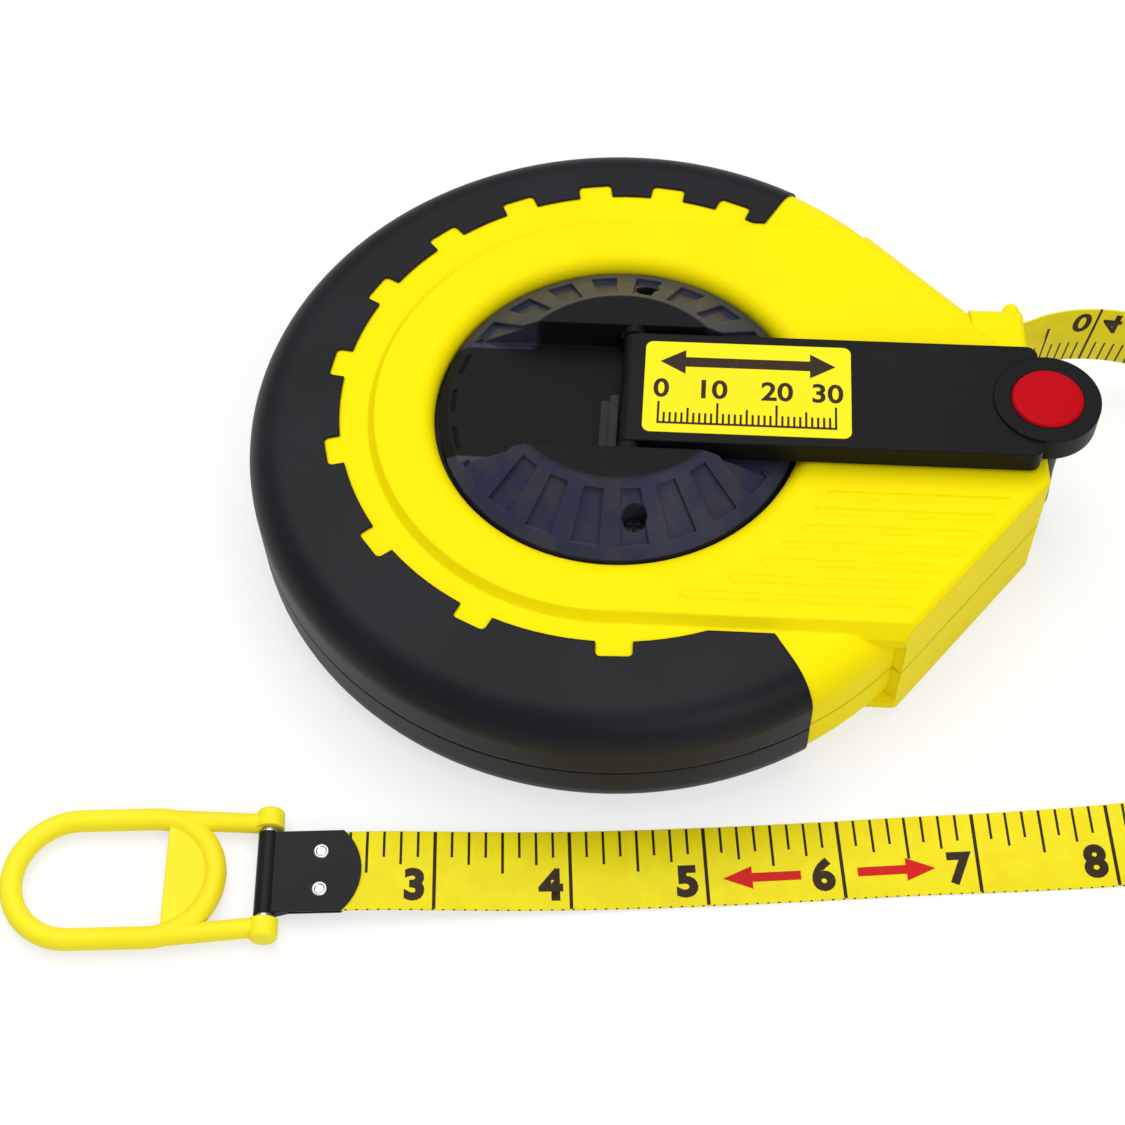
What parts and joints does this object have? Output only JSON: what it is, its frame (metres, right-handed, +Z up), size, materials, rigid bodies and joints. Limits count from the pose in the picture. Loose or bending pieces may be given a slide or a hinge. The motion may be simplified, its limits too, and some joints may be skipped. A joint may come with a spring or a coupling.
{
  "type": "surveyor tape reel",
  "caption": "Closed-case long measuring tape with a toothed rubber grip, fold-over crank with finger knob, wound glass-fibre tape and a hinged pull ring on the tape's end.",
  "frame": {"origin": "on the drum axis at the underside of the case", "axes": "+Z up along the drum axis, +X towards the nose of the case, +Y towards the side where the tape leaves"},
  "size_m": [0.277, 0.1827, 0.0379],
  "materials": {
    "case_yellow": "fine satin moulding",
    "grip_rubber": "matt",
    "crank_black": "satin",
    "inner_plastic": "matt",
    "washer_plastic": "matt",
    "cap_red": "gloss",
    "label_print": "satin film",
    "tape_print": "satin coating",
    "steel": "bright",
    "clip_black": "satin black"
  },
  "bodies": {
    "case": {"case_lower": "case_yellow", "case_upper": "case_yellow", "grip_lower": "grip_rubber", "grip_upper": "grip_rubber", "tape_guide": "inner_plastic", "case_screws": "steel", "drum_washer": "washer_plastic", "tape_lead": "tape_print", "tape_out": "tape_print", "tape_clip": "clip_black", "clip_eyelets": "steel", "ring_pin": "steel"},
    "drum": {"drum_core": "inner_plastic", "drum_flange": "inner_plastic", "tape_roll": "tape_print", "crank_hub": "crank_black", "hub_screws": "steel", "crank_pin": "steel", "detent_spring": "steel"},
    "crank": {"crank_arm": "crank_black", "arm_label": "label_print", "knob_pin": "steel", "knob_cap": "cap_red"},
    "crank_knob": {"knob": "crank_black"},
    "end_ring": {"pull_ring": "case_yellow"}
  },
  "joints": [
    {"name": "drum_spin", "type": "hinge", "parent": "case", "child": "drum", "pos_m": [0, 0, 0.012], "axis": [0, 0, 1], "continuous": true},
    {"name": "crank_fold", "type": "hinge", "parent": "drum", "child": "crank", "pos_m": [0.0025, 0, 0.0348], "axis": [0, -1, 0], "range_deg": [0, 180]},
    {"name": "knob_spin", "type": "hinge", "parent": "crank", "child": "crank_knob", "pos_m": [0.0832, 0, 0.018], "axis": [0, 0, 1], "continuous": true},
    {"name": "ring_swing", "type": "hinge", "parent": "case", "child": "end_ring", "pos_m": [-0.061, -0.0925, 0.0028], "axis": [-0.083, 0.9966, 0], "range_deg": [0, 150]}
  ]
}
